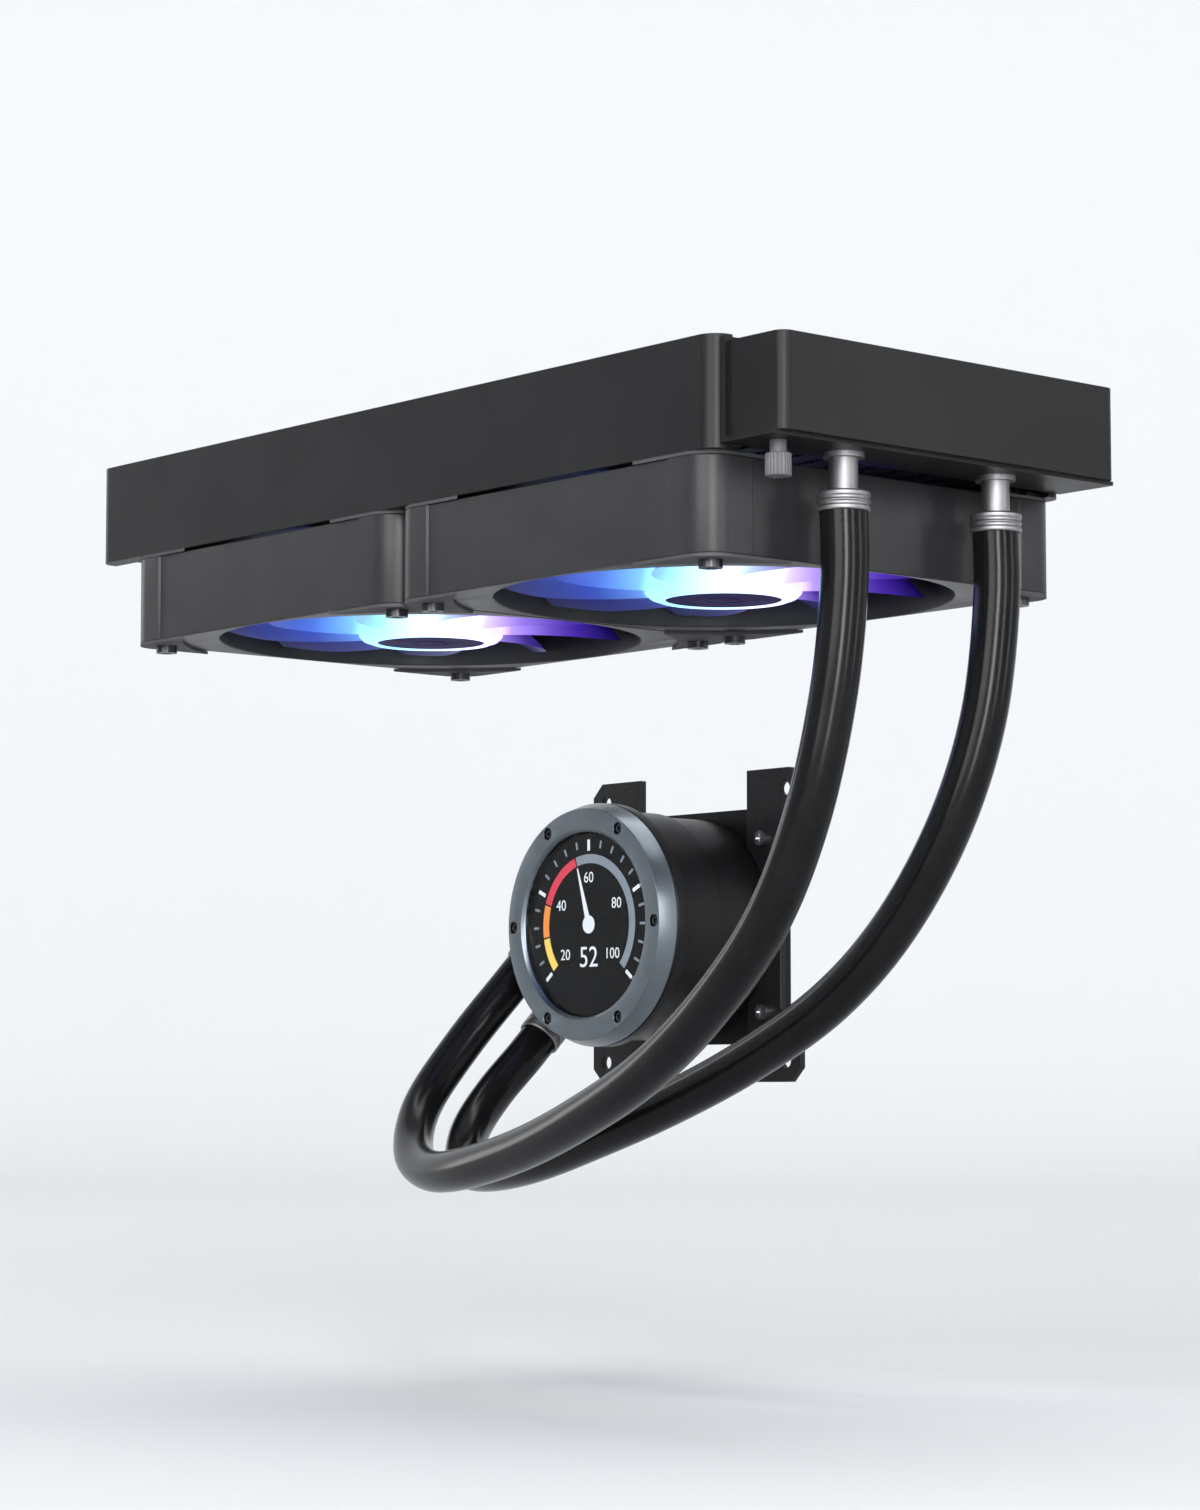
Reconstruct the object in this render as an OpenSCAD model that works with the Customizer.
// All-in-one liquid cooler: a finned radiator with two fans under it, a pump head
// with a round display and a cold plate, and two hoses between them.
// Origin: centre of the radiator's top face, in the middle of its roof screws.
// +X runs along the radiator to its hose ports, -Y is the display side, +Z is up.

/* [Radiator] */
// Width across the two side plates
rad_w = 120; // [118:1:124]
// Thickness from the fan face to the top face
rad_t = 27; // [25:1:30]
// Length of the side plates past the outer fan edge, at the return tank
plate_rear = 16; // [14:1:20]
// Length of the port tank past the side plates
port_tank_l = 20; // [18:1:26]
// Thickness of the sheet the side plates are folded from
sheet = 1.2; // [0.8:0.1:1.6]
// Number of flat coolant channels
channel_count = 12; // [8:1:12]
// Distance from one fold of a cooling fin to the next
fin_pitch = 10; // [6:1:16]

/* [Fans] */
// Outer width of one fan
fan_w = 120; // [119:0.5:120]
// Thickness of one fan with its corner pads
fan_t = 25; // [24:1:28]
// Radius of the round opening in the fan frame
fan_bore_r = 58.5; // [57:0.5:58.5]
// Radius of the fan hub
hub_r = 20; // [20:0.5:22]
// Number of blades
blade_count = 9; // [7:1:11]
// Angle each blade turns through over its height
blade_twist = 34; // [24:1:40]

/* [Pump head] */
// Outer radius of the metal bezel around the display
bezel_r = 35; // [34:0.5:37]
// Radius of the visible display
display_r = 26.5; // [25:0.5:27]
// Height of the pump head from the cold plate to the bezel
head_h = 53; // [52:0.5:58]
// Distance between the processor bracket's holes, both ways
bracket_pitch = 78; // [75:1:80]

/* [Hoses] */
// Radius of a hose
hose_r = 5.75; // [5.5:0.25:6]
// Distance of each radiator port from the middle
port_y = 26; // [26:1:26]

/* [Hidden] */
$fn = 64;

// Radiator
half_w = rad_w / 2;
plate_x0 = -fan_w - plate_rear;
plate_x1 = fan_w + 2;
plate_corner_r = 5;
flange_w = 11;
lip_w = 6;
channel_t = 2;
channel_w = 18;
channel_wall = 0.35;
channel_pitch = 8.8;
channel_z = -rad_t / 2;
header_t = 1.6;
header_y = half_w - lip_w - 0.2;
tank_wall = 1.5;
tank_x1 = plate_x1 + port_tank_l;
tank_y = half_w - 3;
tank_bottom = 2 - rad_t;
port_x = 130;
fan_hole = 52.5;
screw_r = 1.5;
thread_r = 1.55;
roof_hole_r = 1.75;

// Fans
fan_top = -rad_t;
fan_bottom = fan_top - fan_t;
pad_t = 0.8;
fan_corner_r = 8;
strut_t = 2.4;
frame_top = fan_top - pad_t;
frame_bottom = fan_bottom + pad_t;
plate_bottom = frame_top - strut_t;
rotor_bottom = fan_bottom + 0.7;
cup_top = plate_bottom - 3.7;
cup_wall = 1.5;
blade_tip_r = fan_bore_r - 1.7;
blade_h = 16;
blade_t = 2.2;
blade_sweep = 26;
fan_shaft_r = 1.5;
bearing_gap = 0.03;
tube_r = 5;
bearing_r = 3.5;

// Pump head, whose own z runs from the cold plate towards the display
pump_x = -62;
pump_z = -128;
plate_face_y = 57 + head_h;
plate_t = 3;
foot_top = 8;
chamber_r = 32;
chamber_top = 28;
cavity_r = 22.5;
cavity_top = 10.5;
rotor_room_r = 17;
rotor_room_top = 19;
well_floor = 20.5;
well_r = 15.5;
port_plane = 22;
supply_port = 3;
return_port = -19;
block_x = -34;
shell_r = 33;
shell_top = head_h - 10;
bezel_screw_ring = 30.8;
plate_screw_ring = 27.3;
pump_shaft_r = 1.5;
supply_elbow_x = -47;
return_elbow_x = -41;
hose_seat = 6;

// Hose routes, from the radiator's ports to the pump's elbows
SUPPLY_ROUTE = [
    [130, -26, -36], [130, -26, -58], [127, -27, -84], [120, -29, -112],
    [106, -29, -136], [82, -26, -156], [54, -21, -171], [22, -14, -182],
    [-14, -5, -191], [-50, 4, -197], [-78, 14, -198], [-99, 25, -192],
    [-112, 39, -179], [-113, 55, -161], [-109, 70, -143], [-109, 82, -131],
];
RETURN_ROUTE = [
    [130, 26, -36], [130, 26, -58], [127, 24, -86], [119, 20, -112],
    [104, 16, -136], [84, 13, -154], [57, 11, -168], [28, 10, -179],
    [-3, 11, -188], [-34, 15, -195], [-64, 23, -198], [-85, 33, -196],
    [-99, 46, -187], [-104, 59, -176], [-103, 70, -165], [-103, 82, -153],
];
hose_sides = 12;

// ---------------------------------------------------------------- helpers

module slab(x0, x1, y0, y1, z0, z1) {
    translate([x0, y0, z0]) cube([x1 - x0, y1 - y0, z1 - z0]);
}

// A rectangle with round corners, made of squares and true circles
module rounded(x0, x1, y0, y1, r) {
    translate([x0 + r, y0]) square([x1 - x0 - 2 * r, y1 - y0]);
    translate([x0, y0 + r]) square([x1 - x0, y1 - y0 - 2 * r]);
    for (x = [x0 + r, x1 - r], y = [y0 + r, y1 - r]) translate([x, y]) circle(r);
}

module ring(r_out, r_in, z0, z1) {
    translate([0, 0, z0]) difference() {
        cylinder(r = r_out, h = z1 - z0);
        translate([0, 0, -1]) cylinder(r = r_in, h = z1 - z0 + 2);
    }
}

module post(r, z0, z1) {
    translate([0, 0, z0]) cylinder(r = r, h = z1 - z0);
}

function unit(v) = v / norm(v);
function polar(r, a) = [r * cos(a), r * sin(a)];

// ---------------------------------------------------------------- radiator

// A folded side plate: web, two flanges with screw holes and two end lips
module side_plate(side) {
    color([0.16, 0.16, 0.17]) difference() {
        translate([0, 0, -rad_t]) linear_extrude(rad_t)
            rounded(plate_x0, plate_x1, -half_w, half_w, plate_corner_r);
        translate([0, 0, sheet - rad_t]) linear_extrude(rad_t - 2 * sheet)
            rounded(plate_x0 + sheet, plate_x1 - sheet, sheet - half_w, half_w - sheet,
                plate_corner_r - sheet);
        // The other half and the air window
        slab(plate_x0 - 1, plate_x1 + 1, -side * half_w - 1, -side * half_w + 1, -rad_t - 1, 1);
        if (side > 0) slab(plate_x0 - 1, plate_x1 + 1, -half_w - 1, half_w - flange_w, -rad_t - 1, 1);
        if (side < 0) slab(plate_x0 - 1, plate_x1 + 1, flange_w - half_w, half_w + 1, -rad_t - 1, 1);
        // Narrow flanges over the tank and the headers
        for (x = [plate_x0 - 1, fan_w - 1])
            slab(x, x + plate_rear + 2, lip_w - half_w, half_w - lip_w, -rad_t - 1, 1);
        // Threaded holes for the fan screws below, clearance holes for the roof screws above
        for (k = [-2, -1, 1, 2]) translate([flange_hole_x(k), side * fan_hole, 0]) {
            post(thread_r, -rad_t - 1, sheet + 1 - rad_t);
            post(roof_hole_r, -sheet - 1, 1);
        }
    }
}

// Where the flange holes are: each fan has one near its outer end (k = 2) and its inner (k = 1)
function flange_hole_x(k) = sign(k) * (fan_w / 2 + (abs(k) > 1 ? fan_hole : -fan_hole));

module side_plate_near() { side_plate(-1); }
module side_plate_far() { side_plate(1); }

// The tank with both ports, split in two by a wall between inlet and outlet
module port_tank() {
    color([0.14, 0.14, 0.15]) difference() {
        union() {
            translate([0, 0, tank_bottom]) linear_extrude(rad_t - 4)
                difference() {
                    rounded(plate_x1 - 6, tank_x1, -tank_y, tank_y, 3);
                    translate([plate_x1 - 10, -half_w]) square([10, rad_w]);
                }
            slab(plate_x1, plate_x1 + 1.6, -tank_y - 1, tank_y + 1, tank_bottom - 1, -1);
            slab(plate_x1, tank_x1 - 2, -tank_y - 1, tank_y + 1, tank_bottom - 1, tank_bottom);
        }
        for (y = [-header_y + 1.8, 0.6])
            slab(plate_x1 - 1, tank_x1 - tank_wall, y, y + header_y - 2.4,
                tank_bottom + tank_wall, -2 - tank_wall);
        for (y = [-port_y, port_y])
            translate([port_x, y, tank_bottom - 2]) cylinder(r = 3, h = 5);
        translate([port_x + 3, -50, tank_bottom - 2]) cylinder(r = 1.2, h = 5);
    }
}

// The plain tank at the far end, where the coolant turns back
module return_tank() {
    color([0.14, 0.14, 0.15]) difference() {
        translate([0, 0, 1.5 - rad_t]) linear_extrude(rad_t - 3) difference() {
            rounded(plate_x0 + 1.6, -fan_w + 9, 1.8 - half_w, half_w - 1.8, 4);
            translate([-fan_w - 1, -half_w]) square([11, rad_w]);
        }
        slab(plate_x0 + 1.6 + tank_wall, -fan_w + 1, 4 - half_w + lip_w, half_w - lip_w - 4,
            3 - rad_t, -3);
    }
}

module channel_outline(shrink) {
    w = channel_w - channel_t;
    square([channel_t - 2 * shrink, w], center = true);
    for (s = [-1, 1]) translate([0, s * w / 2]) circle(channel_t / 2 - shrink);
}

// Lays a flat outline (thickness, width) along X at every channel
module channel_rows(x0, x1, shrink) {
    for (i = [0 : channel_count - 1])
        translate([x0, (i - (channel_count - 1) / 2) * channel_pitch, channel_z])
            rotate([90, 0, 90]) linear_extrude(x1 - x0) channel_outline(shrink);
}

module header(x0) {
    color([0.72, 0.72, 0.7]) difference() {
        slab(x0, x0 + header_t, -header_y, header_y, tank_bottom + 0.2, -2.2);
        channel_rows(x0 - 1, x0 + header_t + 1, 0);
    }
}

module header_front() { header(plate_x1 - header_t); }
module header_rear() { header(-fan_w - 1); }

module coolant_channels() {
    color([0.6, 0.6, 0.58]) difference() {
        channel_rows(-fan_w - 2.5, plate_x1 + 1.5, 0);
        channel_rows(-fan_w - 3.5, plate_x1 + 2.5, channel_wall);
    }
}

// Folded fins between the channels, one zigzag strip in each gap
module cooling_fins() {
    room = channel_pitch - channel_t;
    folds = floor((2 * fan_w - 6) / fin_pitch);
    x0 = -folds * fin_pitch / 2;
    t = 0.5;
    color([0.1, 0.1, 0.1]) for (i = [0 : channel_count - 2])
        translate([x0, (i - (channel_count - 2) / 2) * channel_pitch - room / 2, 3.5 - rad_t])
            linear_extrude(rad_t - 7) polygon(concat(
                [for (k = [0 : folds]) [k * fin_pitch, (k % 2) * (room - t)]],
                [for (k = [folds : -1 : 0]) [k * fin_pitch, (k % 2) * (room - t) + t]]));
}

// A short neck brazed into the tank, which a hose is crimped on
module port_neck(y) {
    color([0.2, 0.2, 0.21]) translate([port_x, y, 0]) difference() {
        union() {
            post(5, tank_bottom - 2.2, tank_bottom - 1);
            post(3, tank_bottom - 1, tank_bottom + 1.5);
            post(3.5, -36, tank_bottom - 2.2);
        }
        post(2.2, -37, tank_bottom + 2);
    }
}

module port_neck_supply() { port_neck(-port_y); }
module port_neck_return() { port_neck(port_y); }

module fill_plug() {
    color([0.25, 0.25, 0.26]) translate([port_x + 3, -50, 0]) {
        post(1.2, tank_bottom - 1, tank_bottom + 1.5);
        post(2, tank_bottom - 4, tank_bottom - 1);
        translate([0, 0, -34.5]) cylinder(r1 = 2.7, r2 = 3.1, h = 1);
        post(3.1, -33.5, tank_bottom - 4);
    }
}

// A crimp ring round a hose end, its closed side at z = 0 and the hose below
module collar(length) {
    rotate_extrude() polygon([
        [3.6, 0.8], [hose_r + 0.3, 0.8], [hose_r + 0.7, 0.4], [hose_r + 0.7, -length + 0.4],
        [hose_r + 0.4, -length], [hose_r + 0.05, -length], [hose_r + 0.05, 0], [3.6, 0],
    ]);
}

module radiator_collars() {
    color([0.3, 0.3, 0.31]) for (y = [-port_y, port_y])
        translate([port_x, y, -36]) collar(4);
}

// The knuckles of the two swivel elbows, one further out so that both can turn
SUPPLY_KNUCKLE = [pump_x + supply_elbow_x, plate_face_y - port_plane, pump_z + supply_port];
RETURN_KNUCKLE = [pump_x + return_elbow_x, plate_face_y - port_plane, pump_z + return_port];

// Both hose ends slope down and forwards at 45 degrees from their knuckles
module at_spigot(knuckle) {
    translate(knuckle) rotate([-45, 0, 0]) children();
}

module pump_collars() {
    color([0.2, 0.2, 0.21]) for (knuckle = [SUPPLY_KNUCKLE, RETURN_KNUCKLE])
        at_spigot(knuckle) translate([0, 0, -hose_seat * sqrt(2)]) collar(10);
}

// ---------------------------------------------------------------- hoses

// Direction of a route at point i
function along(route, i) =
    let (n = len(route) - 1, a = route[max(i - 1, 0)], b = route[min(i + 1, n)])
    i == 0 ? unit(route[1] - route[0])
    : i == n ? unit(route[n] - route[n - 1])
    : unit(unit(route[i] - a) + unit(b - route[i]));

// Corner k of the ring of points round point i
function ring_point(route, i, k) =
    let (t = along(route, i), u = unit(cross([0, 1, 0], t)), v = cross(t, u),
        a = 360 * k / hose_sides)
    route[i] + hose_r * (cos(a) * u + sin(a) * v);

// One closed tube swept through the route's points
module swept_hose(route) {
    n = len(route);
    s = hose_sides;
    points = [for (i = [0 : n - 1], k = [0 : s - 1]) ring_point(route, i, k)];
    sides = [for (i = [0 : n - 2], k = [0 : s - 1])
        each [[i * s + k, (i + 1) * s + k, i * s + (k + 1) % s],
            [i * s + (k + 1) % s, (i + 1) * s + k, (i + 1) * s + (k + 1) % s]]];
    first = [for (k = [0 : s - 1]) k];
    last = [for (k = [s - 1 : -1 : 0]) (n - 1) * s + k];
    polyhedron(points, concat(sides, [first, last]));
}

module supply_hose() { color([0.06, 0.06, 0.06]) swept_hose(SUPPLY_ROUTE); }
module return_hose() { color([0.06, 0.06, 0.06]) swept_hose(RETURN_ROUTE); }

// ---------------------------------------------------------------- fans

// Everything below is drawn round one fan's axis and moved to its place
module at_left_fan() { translate([-fan_w / 2, 0, 0]) children(); }
module at_right_fan() { translate([fan_w / 2, 0, 0]) children(); }

module fan_outline() {
    rounded(-fan_w / 2, fan_w / 2, -fan_w / 2, fan_w / 2, fan_corner_r);
}

module fan_holes(r) {
    for (x = [-fan_hole, fan_hole], y = [-fan_hole, fan_hole]) translate([x, y]) circle(r);
}

// Square frame with a round bore, four struts and the bearing tube
module fan_frame() {
    color([0.19, 0.19, 0.2]) {
        translate([0, 0, frame_bottom]) linear_extrude(frame_top - frame_bottom) difference() {
            fan_outline();
            circle(fan_bore_r);
            fan_holes(2.2);
        }
        difference() {
            union() {
                post(hub_r - 0.6, plate_bottom, frame_top);
                for (a = [20, 110, 200, 290]) rotate(a)
                    slab(hub_r - 2, fan_bore_r + 0.5, -2.6, 2.6, plate_bottom, frame_top);
                post(tube_r, rotor_bottom + 5, plate_bottom + 0.5);
            }
            post(bearing_r, rotor_bottom + 4, plate_bottom + 0.8);
        }
    }
}

// Hub cup with the blades, open towards the struts
module fan_rotor() {
    top = cup_top;
    bottom = rotor_bottom;
    color([0.75, 0.78, 0.85, 0.9]) difference() {
        union() {
            rotate_extrude() polygon([
                [0, bottom], [hub_r - 1.4, bottom], [hub_r, bottom + 1.4], [hub_r, top],
                [hub_r - cup_wall, top], [hub_r - cup_wall, bottom + 2], [3.2, bottom + 2],
                [3.2, bottom + 4], [0, bottom + 4],
            ]);
            for (k = [0 : blade_count - 1]) rotate(k * 360 / blade_count)
                translate([0, 0, bottom + 0.8])
                    linear_extrude(blade_h, twist = -blade_twist, slices = 6, $fn = 0) blade_outline();
        }
        post(fan_shaft_r, bottom + 1, bottom + 5);
    }
}

// A curved strip from the hub to the tip
module blade_outline() {
    steps = 5;
    r0 = hub_r - 0.7;
    radii = [for (i = [0 : steps]) r0 + (blade_tip_r - r0) * i / steps];
    lean = [for (r = radii) blade_sweep * pow((r - r0) / (blade_tip_r - r0), 1.6)];
    edge = [for (r = radii) blade_t * 90 / (PI * r)];
    polygon(concat(
        [for (i = [0 : steps]) polar(radii[i], lean[i] - edge[i])],
        [for (i = [steps : -1 : 0]) polar(radii[i], lean[i] + edge[i])]));
}

module fan_badge() {
    color([0.8, 0.8, 0.82]) post(hub_r - 3, rotor_bottom - 0.6, rotor_bottom);
}

module fan_yoke() {
    color([0.55, 0.55, 0.56]) ring(hub_r - cup_wall, hub_r - cup_wall - 1, rotor_bottom + 2, cup_top - 0.5);
}

module fan_magnet() {
    color([0.3, 0.28, 0.26]) ring(hub_r - cup_wall - 1, hub_r - cup_wall - 3, rotor_bottom + 4, cup_top - 1);
}

module fan_shaft() {
    color([0.8, 0.8, 0.8]) post(fan_shaft_r, rotor_bottom + 1, plate_bottom - 1);
}

module fan_bearing() {
    color([0.7, 0.55, 0.3]) ring(bearing_r, fan_shaft_r + bearing_gap, rotor_bottom + 5, plate_bottom - 0.5);
}

// Four wound poles round the bearing tube
module fan_stator() {
    z0 = rotor_bottom + 7;
    z1 = plate_bottom - 3;
    color([0.62, 0.36, 0.18]) {
        ring(tube_r + 2, tube_r, z0, z1);
        for (a = [0, 90, 180, 270]) rotate(a) {
            slab(tube_r + 1.5, 13.2, -1.5, 1.5, z0 + 2, z1 - 2);
            slab(tube_r + 2.5, 12, -3, 3, z0 + 1, z1 - 1);
            intersection() {
                ring(14.6, 13, z0 + 1, z1 - 1);
                slab(9, 16, -7.5, 7.5, z0, z1);
            }
        }
    }
}

// Ring board with eight lamps that shine into the hub
module fan_light_board() {
    color([0.85, 0.87, 0.9]) {
        ring(17, tube_r + 0.3, plate_bottom - 1.2, plate_bottom);
        for (k = [0 : 7]) rotate(k * 45)
            slab(13, 16, -1.5, 1.5, plate_bottom - 2.2, plate_bottom - 1.1);
    }
}

// Corner pads on both faces
module fan_pads() {
    color([0.22, 0.22, 0.23]) for (z = [fan_bottom, frame_top])
        translate([0, 0, z]) linear_extrude(pad_t) difference() {
            fan_outline();
            circle(fan_w * 0.572);
            fan_holes(z == fan_bottom ? 2.2 : 2.4);
        }
}

// Long screws through the fan into the radiator's lower flange
module fan_screws() {
    color([0.5, 0.5, 0.52]) for (x = [-fan_hole, fan_hole], y = [-fan_hole, fan_hole])
        translate([x, y, 0]) difference() {
            union() {
                post(screw_r, fan_bottom - 0.5, fan_top + 3);
                post(2.9, fan_bottom - 1.9, fan_bottom);
            }
            slab(-1.7, 1.7, -0.35, 0.35, fan_bottom - 2, fan_bottom - 1);
            slab(-0.35, 0.35, -1.7, 1.7, fan_bottom - 2, fan_bottom - 1);
        }
}

module left_fan_frame() { at_left_fan() fan_frame(); }
module left_fan_rotor() { at_left_fan() fan_rotor(); }
module left_fan_badge() { at_left_fan() fan_badge(); }
module left_fan_yoke() { at_left_fan() fan_yoke(); }
module left_fan_magnet() { at_left_fan() fan_magnet(); }
module left_fan_shaft() { at_left_fan() fan_shaft(); }
module left_fan_bearing() { at_left_fan() fan_bearing(); }
module left_fan_stator() { at_left_fan() fan_stator(); }
module left_fan_light_board() { at_left_fan() fan_light_board(); }
module left_fan_pads() { at_left_fan() fan_pads(); }
module left_fan_screws() { at_left_fan() fan_screws(); }
module right_fan_frame() { at_right_fan() fan_frame(); }
module right_fan_rotor() { at_right_fan() fan_rotor(); }
module right_fan_badge() { at_right_fan() fan_badge(); }
module right_fan_yoke() { at_right_fan() fan_yoke(); }
module right_fan_magnet() { at_right_fan() fan_magnet(); }
module right_fan_shaft() { at_right_fan() fan_shaft(); }
module right_fan_bearing() { at_right_fan() fan_bearing(); }
module right_fan_stator() { at_right_fan() fan_stator(); }
module right_fan_light_board() { at_right_fan() fan_light_board(); }
module right_fan_pads() { at_right_fan() fan_pads(); }
module right_fan_screws() { at_right_fan() fan_screws(); }

// ---------------------------------------------------------------- pump head

// The pump head's own frame: x as before, y up, z towards the display
module at_pump() {
    translate([pump_x, plate_face_y, pump_z]) rotate([90, 0, 0]) children();
}

module on_circle(r, count) {
    for (k = [0 : count - 1]) rotate(k * 360 / count) translate([r, 0, 0]) children();
}

// Copper plate with fine fins on its wet side
module cold_plate() {
    color([0.72, 0.42, 0.26]) at_pump() difference() {
        union() {
            post(30, 0, plate_t);
            for (i = [-6 : 6]) slab(i * 2 - 0.4, i * 2 + 0.4, -12, 12, plate_t - 0.5, plate_t + 2.5);
        }
        rotate(30) on_circle(plate_screw_ring, 6) {
            post(1.1, -1, plate_t + 1);
            post(2.1, -1, 1.4);
        }
    }
}

module cold_plate_screws() {
    color([0.7, 0.7, 0.72]) at_pump() rotate(30) on_circle(plate_screw_ring, 6) difference() {
        union() {
            post(1, 0.3, 7);
            post(2, 0.3, 1.4);
        }
        cylinder(r = 1, h = 1, $fn = 6);
    }
}

module pump_gasket() {
    color([0.05, 0.05, 0.05]) at_pump() ring(25, 23.2, plate_t, plate_t + 1.4);
}

// Lower housing with the wet rooms, the port block and the foot
module pump_chamber() {
    color([0.09, 0.09, 0.1]) at_pump() difference() {
        union() {
            post(chamber_r, plate_t, chamber_top);
            translate([0, 0, plate_t]) linear_extrude(foot_top - plate_t) rounded(-34, 34, -34, 34, 6);
            slab(block_x, -15, return_port - 7, supply_port + 7, port_plane - 7, chamber_top);
        }
        post(cavity_r, plate_t - 1, cavity_top);
        post(rotor_room_r, cavity_top - 1, rotor_room_top);
        post(well_r, well_floor, chamber_top + 1);
        post(pump_shaft_r, rotor_room_top - 1, well_floor - 0.4);
        ring(25, 23.2, plate_t - 1, plate_t + 1.4);
        rotate(30) on_circle(plate_screw_ring, 6) post(1, plate_t - 1, 7.5);
        for (y = [-25, 25], x = [-30, 30]) translate([x, y, 0]) post(1, plate_t + 1, foot_top + 1);
        // Passages from the two ports to the rotor room and the cold plate
        translate([block_x - 1, supply_port, port_plane]) rotate([0, 90, 0]) cylinder(r = 3, h = 20);
        translate([-17.5, supply_port, 0]) post(2.5, 15, port_plane);
        translate([block_x - 1, return_port, port_plane]) rotate([0, 90, 0]) cylinder(r = 3, h = 33);
        translate([-4, return_port - 1, 0]) post(2.5, 6, port_plane);
    }
}

module flow_plate() {
    color([0.3, 0.3, 0.32]) at_pump() ring(cavity_r - 0.1, 4, cavity_top - 1.9, cavity_top);
}

// Impeller that turns on a fixed ceramic shaft
module impeller() {
    z0 = cavity_top + 1.7;
    color([0.85, 0.85, 0.8]) at_pump() difference() {
        union() {
            post(3.5, z0, rotor_room_top - 0.7);
            post(15, z0 + 3, z0 + 4);
            for (k = [0 : 5]) rotate(k * 60) linear_extrude(z0 + 3.2) intersection() {
                translate([0, 8.5]) difference() {
                    circle(8);
                    circle(7);
                }
                translate([0.5, 0]) square([14, 14]);
            }
        }
        post(pump_shaft_r + 0.05, 0, 30);
        post(20, -1, z0);
    }
}

module impeller_magnet() {
    z0 = cavity_top + 5.7;
    color([0.3, 0.28, 0.27]) at_pump() ring(14.5, 3.5, z0, rotor_room_top - 0.7);
}

module pump_shaft() {
    color([0.9, 0.9, 0.88]) at_pump() post(pump_shaft_r, cavity_top + 1, well_floor - 0.4);
}

module pump_stator_core() {
    color([0.45, 0.45, 0.47]) at_pump() {
        ring(14, 4, well_floor, well_floor + 1.2);
        on_circle(9.6, 6) post(1.6, well_floor + 1, well_floor + 6.4);
    }
}

module pump_coils() {
    color([0.72, 0.4, 0.2]) at_pump() on_circle(9.6, 6)
        ring(3.8, 1.6, well_floor + 1.2, well_floor + 6);
}

module pump_board() {
    color([0.08, 0.25, 0.14]) at_pump() {
        post(27, chamber_top + 1, chamber_top + 2.6);
        slab(-6, 6, -6, 6, chamber_top + 2.6, chamber_top + 3.8);
        slab(10, 16, -14, -8, chamber_top + 2.6, chamber_top + 5);
        for (k = [0 : 3]) translate([-15, -12 + 7 * k, 0]) post(1.8, chamber_top + 2.6, chamber_top + 7);
    }
}

// Front shell over the motor and the board
module pump_housing() {
    color([0.08, 0.08, 0.09]) at_pump() difference() {
        rotate_extrude() polygon([
            [0, chamber_top], [shell_r - 0.8, chamber_top], [shell_r, chamber_top + 0.8],
            [shell_r, shell_top], [0, shell_top],
        ]);
        post(30.5, chamber_top - 1, shell_top - 3);
        post(6, shell_top - 4, shell_top + 1);
        on_circle(bezel_screw_ring, 6) post(0.8, shell_top - 4, shell_top + 1);
    }
}

module display_board() {
    color([0.08, 0.2, 0.12]) at_pump() difference() {
        post(28.4, shell_top + 0.6, shell_top + 2.2);
        post(3, shell_top, shell_top + 3);
    }
}

module display_panel() {
    color([0.03, 0.03, 0.04]) at_pump() post(28.4, shell_top + 2.2, head_h - 3);
}

module display_glass() {
    color([0.1, 0.12, 0.2, 0.7]) at_pump() post(display_r - 0.1, head_h - 3, head_h - 1.2);
}

// Turned metal ring with a bevelled edge and six screw holes
module bezel() {
    color([0.55, 0.6, 0.66]) at_pump() difference() {
        rotate_extrude() polygon([
            [29, shell_top], [bezel_r - 0.6, shell_top], [bezel_r, shell_top + 0.6],
            [bezel_r, head_h - 2.2], [bezel_r - 1.8, head_h], [display_r + 0.9, head_h],
            [display_r, head_h - 0.9], [display_r, head_h - 3], [29, head_h - 3],
        ]);
        on_circle(bezel_screw_ring, 6) {
            post(0.9, shell_top - 1, head_h + 1);
            post(1.7, head_h - 1.3, head_h + 1);
        }
    }
}

module bezel_screws() {
    color([0.3, 0.3, 0.32]) at_pump() on_circle(bezel_screw_ring, 6) difference() {
        union() {
            post(0.75, shell_top - 2.6, head_h - 1);
            post(1.6, head_h - 1.3, head_h - 0.2);
        }
        translate([0, 0, head_h - 0.9]) cylinder(r = 0.8, h = 1, $fn = 6);
    }
}

// Swivel elbow: a turned knuckle with its stem in the port block, and the hose spigot
module elbow(knuckle) {
    spigot = hose_seat * sqrt(2);
    stem = pump_x + block_x - knuckle[0];
    color([0.12, 0.12, 0.13]) difference() {
        union() {
            translate(knuckle) rotate([0, 90, 0]) rotate_extrude() polygon([
                [0, -6.5], [4.5, -6.5], [6.2, -4.8], [6.2, 4.6], [5, 4.6], [5, stem],
                [2.9, stem], [2.9, stem + 7], [0, stem + 7],
            ]);
            at_spigot(knuckle) translate([0, 0, -spigot]) cylinder(r = 3.5, h = spigot);
        }
        translate(knuckle) rotate([0, 90, 0]) translate([0, 0, -2.5]) cylinder(r = 2.2, h = stem + 11);
        at_spigot(knuckle) translate([0, 0, -spigot - 1]) cylinder(r = 1.8, h = spigot + 1);
    }
}

module elbow_supply() { elbow(SUPPLY_KNUCKLE); }
module elbow_return() { elbow(RETURN_KNUCKLE); }

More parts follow.
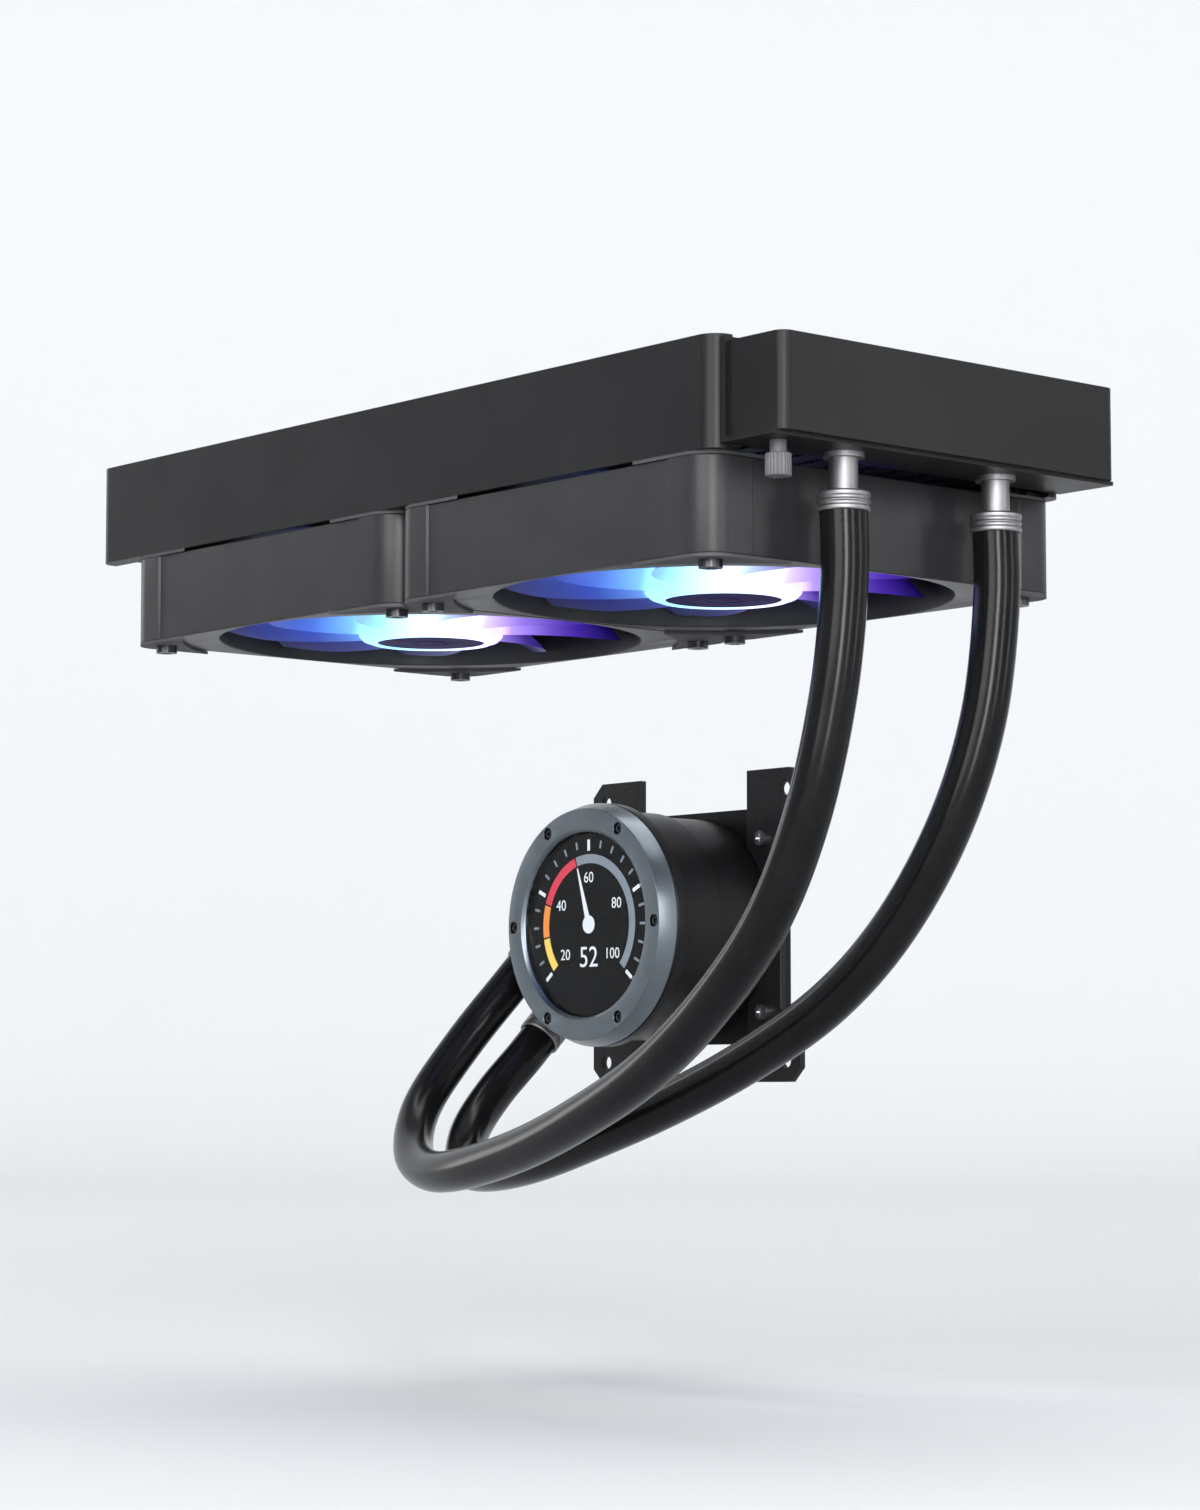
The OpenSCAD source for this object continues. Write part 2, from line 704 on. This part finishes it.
// A steel wing on either side of the foot, with a stud hole at each end
module bracket(side) {
    h = bracket_pitch / 2;
    color([0.2, 0.2, 0.21]) at_pump() mirror([side < 0 ? 1 : 0, 0, 0])
        translate([0, 0, foot_top]) linear_extrude(2) difference() {
            polygon([
                [23, h + 6], [h + 2, h + 6], [h + 6, h + 2], [h + 6, h - 7], [37, 24],
                [37, -24], [h + 6, 7 - h], [h + 6, -h - 2], [h + 2, -h - 6], [23, -h - 6],
            ]);
            circle(chamber_r + 0.3);
            for (y = [-h, h]) translate([h, y]) circle(2);
            for (y = [-25, 25]) translate([30, y]) circle(1.1);
        }
}

module bracket_left() { bracket(-1); }
module bracket_right() { bracket(1); }

module bracket_screws() {
    color([0.5, 0.5, 0.52]) at_pump() for (x = [-30, 30], y = [-25, 25]) translate([x, y, 0])
        difference() {
            union() {
                post(0.95, plate_t + 1.5, foot_top + 2.5);
                post(2.2, foot_top + 2, foot_top + 3.6);
            }
            slab(-1.4, 1.4, -0.3, 0.3, foot_top + 2.9, foot_top + 4);
            slab(-0.3, 0.3, -1.4, 1.4, foot_top + 2.9, foot_top + 4);
        }
}

side_plate_near();
side_plate_far();
port_tank();
return_tank();
header_front();
header_rear();
coolant_channels();
cooling_fins();
port_neck_supply();
port_neck_return();
fill_plug();
radiator_collars();
pump_collars();
supply_hose();
return_hose();
left_fan_frame();
left_fan_rotor();
left_fan_badge();
left_fan_yoke();
left_fan_magnet();
left_fan_shaft();
left_fan_bearing();
left_fan_stator();
left_fan_light_board();
left_fan_pads();
left_fan_screws();
right_fan_frame();
right_fan_rotor();
right_fan_badge();
right_fan_yoke();
right_fan_magnet();
right_fan_shaft();
right_fan_bearing();
right_fan_stator();
right_fan_light_board();
right_fan_pads();
right_fan_screws();
cold_plate();
cold_plate_screws();
pump_gasket();
pump_chamber();
flow_plate();
impeller();
impeller_magnet();
pump_shaft();
pump_stator_core();
pump_coils();
pump_board();
pump_housing();
display_board();
display_panel();
display_glass();
bezel();
bezel_screws();
elbow_supply();
elbow_return();
bracket_left();
bracket_right();
bracket_screws();
